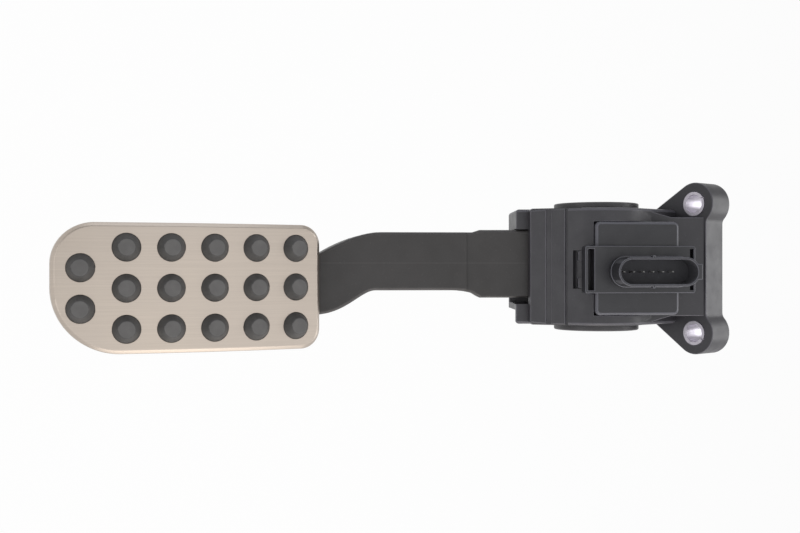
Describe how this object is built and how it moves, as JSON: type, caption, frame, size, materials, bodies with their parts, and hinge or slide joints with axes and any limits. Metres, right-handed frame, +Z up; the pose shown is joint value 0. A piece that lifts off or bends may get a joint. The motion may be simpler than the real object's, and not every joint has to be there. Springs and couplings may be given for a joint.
{
  "type": "accelerator pedal",
  "caption": "Hanging electronic accelerator pedal: studded metal pad on a bent plastic arm that swings in a sprung sensor housing with a bolt-on flange and a plug socket.",
  "frame": {"origin": "on the mounting face, midway between the two bolt holes of the flange", "axes": "+X to the driver's right, +Y forward into the bulkhead, normal to the mounting face, +Z up"},
  "size_m": [0.0789, 0.2557, 0.1716],
  "materials": {
    "housing_plastic": "fine moulded grain, black",
    "cover_plastic": "fine moulded grain, black",
    "arm_plastic": "smooth satin, glass-filled, black",
    "pad_metal": "brushed along the pad",
    "pad_rubber": "matt black rubber",
    "stop_rubber": "matt black rubber",
    "bush_steel": "bright zinc plated",
    "pin_metal": "tin plated",
    "spring_steel": "drawn spring wire",
    "shaft_steel": "ground",
    "bearing_plastic": "natural bearing plastic",
    "friction_plastic": "filled friction plastic",
    "circuit_board": "solder mask",
    "magnet": "sintered"
  },
  "bodies": {
    "housing": {"housing": "housing_plastic", "sensor_cover": "cover_plastic", "terminal_pins": "pin_metal", "sensor_board": "circuit_board", "right_pivot_cap": "cover_plastic", "left_pivot_cap": "cover_plastic", "right_bearing_bush": "bearing_plastic", "left_bearing_bush": "bearing_plastic", "right_return_spring": "spring_steel", "left_return_spring": "spring_steel", "right_mount_bush": "bush_steel", "left_mount_bush": "bush_steel", "friction_shoe": "friction_plastic", "friction_spring": "spring_steel", "idle_stop_pad": "stop_rubber", "full_stop_pad": "stop_rubber"},
    "pedal": {"pedal_arm": "arm_plastic", "pivot_shaft": "shaft_steel", "sensor_magnet": "magnet", "pad_plate": "pad_metal", "pad_rubber": "pad_rubber"}
  },
  "joints": [
    {"name": "pedal_pivot", "type": "hinge", "parent": "housing", "child": "pedal", "pos_m": [-0.00085, -0.04, -0.036], "axis": [1, 0, 0], "range_deg": [0, 16], "stiffness_Nm_per_rad": 9, "springref_deg": -12.61, "deforming": ["right_return_spring", "left_return_spring"]}
  ]
}
